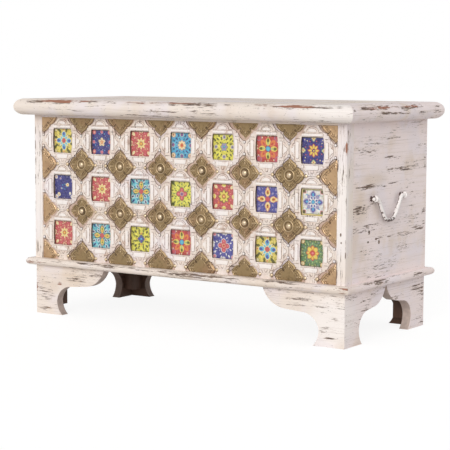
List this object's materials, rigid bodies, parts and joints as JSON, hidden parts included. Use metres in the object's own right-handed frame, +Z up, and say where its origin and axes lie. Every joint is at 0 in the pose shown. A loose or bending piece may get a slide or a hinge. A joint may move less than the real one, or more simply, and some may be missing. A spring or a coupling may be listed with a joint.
{
  "type": "dowry chest",
  "caption": "Rectangular wooden storage chest on ogee bracket feet, with a hinged overhanging lid, a tiled and brass-plated carved front and a bail handle at each end.",
  "frame": {"origin": "on the floor, under the centre of the lid's outline", "axes": "+X along the chest, to the right seen from the front; +Y to the back; +Z up"},
  "size_m": [0.918, 0.433, 0.5155],
  "materials": {
    "painted_wood": "worn cream paint over dark wood",
    "carved_painted_wood": "worn cream paint over carved wood",
    "bare_wood": "dark stained, unpainted",
    "glazed_tile": "hand-painted under clear glaze",
    "antique_brass": "embossed sheet, antiqued",
    "painted_iron": "worn white paint over iron",
    "dull_steel": "dull"
  },
  "bodies": {
    "chest": {"back_left_foot_back_bracket": "painted_wood", "back_left_foot_side_bracket": "painted_wood", "back_panel": "painted_wood", "back_right_foot_back_bracket": "painted_wood", "back_right_foot_side_bracket": "painted_wood", "base_back_rail": "painted_wood", "base_front_rail": "painted_wood", "base_left_rail": "painted_wood", "base_right_rail": "painted_wood", "bottom_brass_half_plates": "antique_brass", "bottom_panel": "bare_wood", "bottom_row_medallions": "carved_painted_wood", "bottom_row_tiles": "glazed_tile", "brass_domes": "antique_brass", "brass_tacks": "antique_brass", "corner_brass_plates": "antique_brass", "foot_glue_blocks": "bare_wood", "front_left_foot_front_bracket": "painted_wood", "front_left_foot_side_bracket": "painted_wood", "front_left_post": "painted_wood", "front_panel": "painted_wood", "front_right_foot_front_bracket": "painted_wood", "front_right_foot_side_bracket": "painted_wood", "front_right_post": "painted_wood", "front_top_rail": "painted_wood", "full_brass_plates": "antique_brass", "handle_nuts": "dull_steel", "hinge_body_screws": "dull_steel", "left_end_panel": "painted_wood", "left_handle_eyes": "painted_iron", "left_hinge_body_leaf": "antique_brass", "left_hinge_pin": "antique_brass", "middle_row_medallions": "carved_painted_wood", "middle_row_tiles": "glazed_tile", "painted_tacks": "carved_painted_wood", "right_end_panel": "painted_wood", "right_handle_eyes": "painted_iron", "right_hinge_body_leaf": "antique_brass", "right_hinge_pin": "antique_brass", "side_brass_half_plates": "antique_brass", "top_brass_half_plates": "antique_brass", "top_row_medallions": "carved_painted_wood", "top_row_tiles": "glazed_tile"},
    "lid": {"lid_front_rail": "painted_wood", "lid_back_rail": "painted_wood", "lid_left_rail": "painted_wood", "lid_right_rail": "painted_wood", "lid_panel": "painted_wood", "left_lid_batten": "bare_wood", "right_lid_batten": "bare_wood", "left_hinge_lid_leaf": "antique_brass", "right_hinge_lid_leaf": "antique_brass", "hinge_lid_screws": "dull_steel"},
    "left_handle": {"left_handle_bail": "painted_iron"},
    "right_handle": {"right_handle_bail": "painted_iron"}
  },
  "joints": [
    {"name": "lid_hinge", "type": "hinge", "parent": "chest", "child": "lid", "pos_m": [0, 0.202, 0.47725], "axis": [-1, 0, 0], "range_deg": [0, 100]},
    {"name": "left_handle_swing", "type": "hinge", "parent": "chest", "child": "left_handle", "pos_m": [-0.435, -0.0005, 0.312], "axis": [0, 1, 0], "range_deg": [-5, 180]},
    {"name": "right_handle_swing", "type": "hinge", "parent": "chest", "child": "right_handle", "pos_m": [0.435, -0.0005, 0.312], "axis": [0, -1, 0], "range_deg": [-5, 180]}
  ]
}
